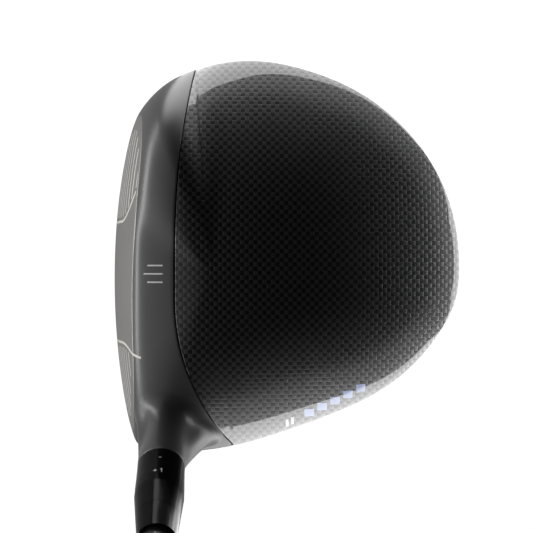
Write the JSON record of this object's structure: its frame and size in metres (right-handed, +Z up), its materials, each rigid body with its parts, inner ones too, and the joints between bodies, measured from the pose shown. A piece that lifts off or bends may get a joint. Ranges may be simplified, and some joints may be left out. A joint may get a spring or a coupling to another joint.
{
  "type": "golf driver",
  "caption": "Long golf club with a hollow rounded head, metal front with a scored face, carbon shell, adjustable hosel, sliding rear weight, tapered shaft and rubber grip.",
  "frame": {"origin": "middle of the flat land on the sole that the head rests on at address", "axes": "+Z up, face looking along -X, toe towards +Y, shaft leaning up and away over -Y"},
  "size_m": [0.1089, 0.7092, 0.9855],
  "materials": {
    "face_titanium": "fine brushed",
    "front_titanium": "satin dark grey",
    "carbon": "clear-coated weave",
    "bond": "matt",
    "black_anodised": "gloss black",
    "track_aluminium": "satin black",
    "weight_tungsten": "satin",
    "screw_steel": "black oxide",
    "nylon": "gloss",
    "epoxy": "clear amber",
    "brass": "plain",
    "shaft_carbon": "gloss black paint",
    "tape": "paper",
    "grip_rubber": "matt, patterned",
    "cap_rubber": "satin"
  },
  "bodies": {
    "head": {"front_frame": "front_titanium", "face_plate": "face_titanium", "crown_panel": "carbon", "sole_panel": "carbon", "seam_bond": "bond", "hosel_cog": "black_anodised", "screw_washer": "screw_steel", "weight_track": "track_aluminium"},
    "shaft_assembly": {"shaft_sleeve": "black_anodised", "cog_retainer": "nylon", "lie_ring": "black_anodised", "loft_ring": "black_anodised", "tip_epoxy": "epoxy", "tip_plug": "brass", "ferrule": "nylon", "shaft": "shaft_carbon", "grip_tape": "tape", "grip": "grip_rubber", "grip_cap": "cap_rubber"},
    "hosel_screw_body": {"hosel_screw": "screw_steel"},
    "weight_slider": {"weight_shoe": "weight_tungsten", "weight_clamp": "weight_tungsten"},
    "weight_screw_body": {"weight_screw": "screw_steel"}
  },
  "joints": [
    {"name": "shaft_pull", "type": "slide", "parent": "head", "child": "shaft_assembly", "axis": [0, -0.5299, 0.848], "range_m": [0, 0.04]},
    {"name": "hosel_screw_turn", "type": "hinge", "parent": "head", "child": "hosel_screw_body", "pos_m": [-0.0314, -0.03181, 0.01505], "axis": [0, -0.5299, 0.848], "continuous": true},
    {"name": "weight_slide", "type": "hinge", "parent": "head", "child": "weight_slider", "pos_m": [0, 0, 0], "axis": [0, 0, 1], "range_deg": [-16.5, 16.5]},
    {"name": "weight_screw_turn", "type": "hinge", "parent": "weight_slider", "child": "weight_screw_body", "pos_m": [0.047, 0, 0.0084], "axis": [-0.5446, 0, 0.8387], "continuous": true}
  ]
}
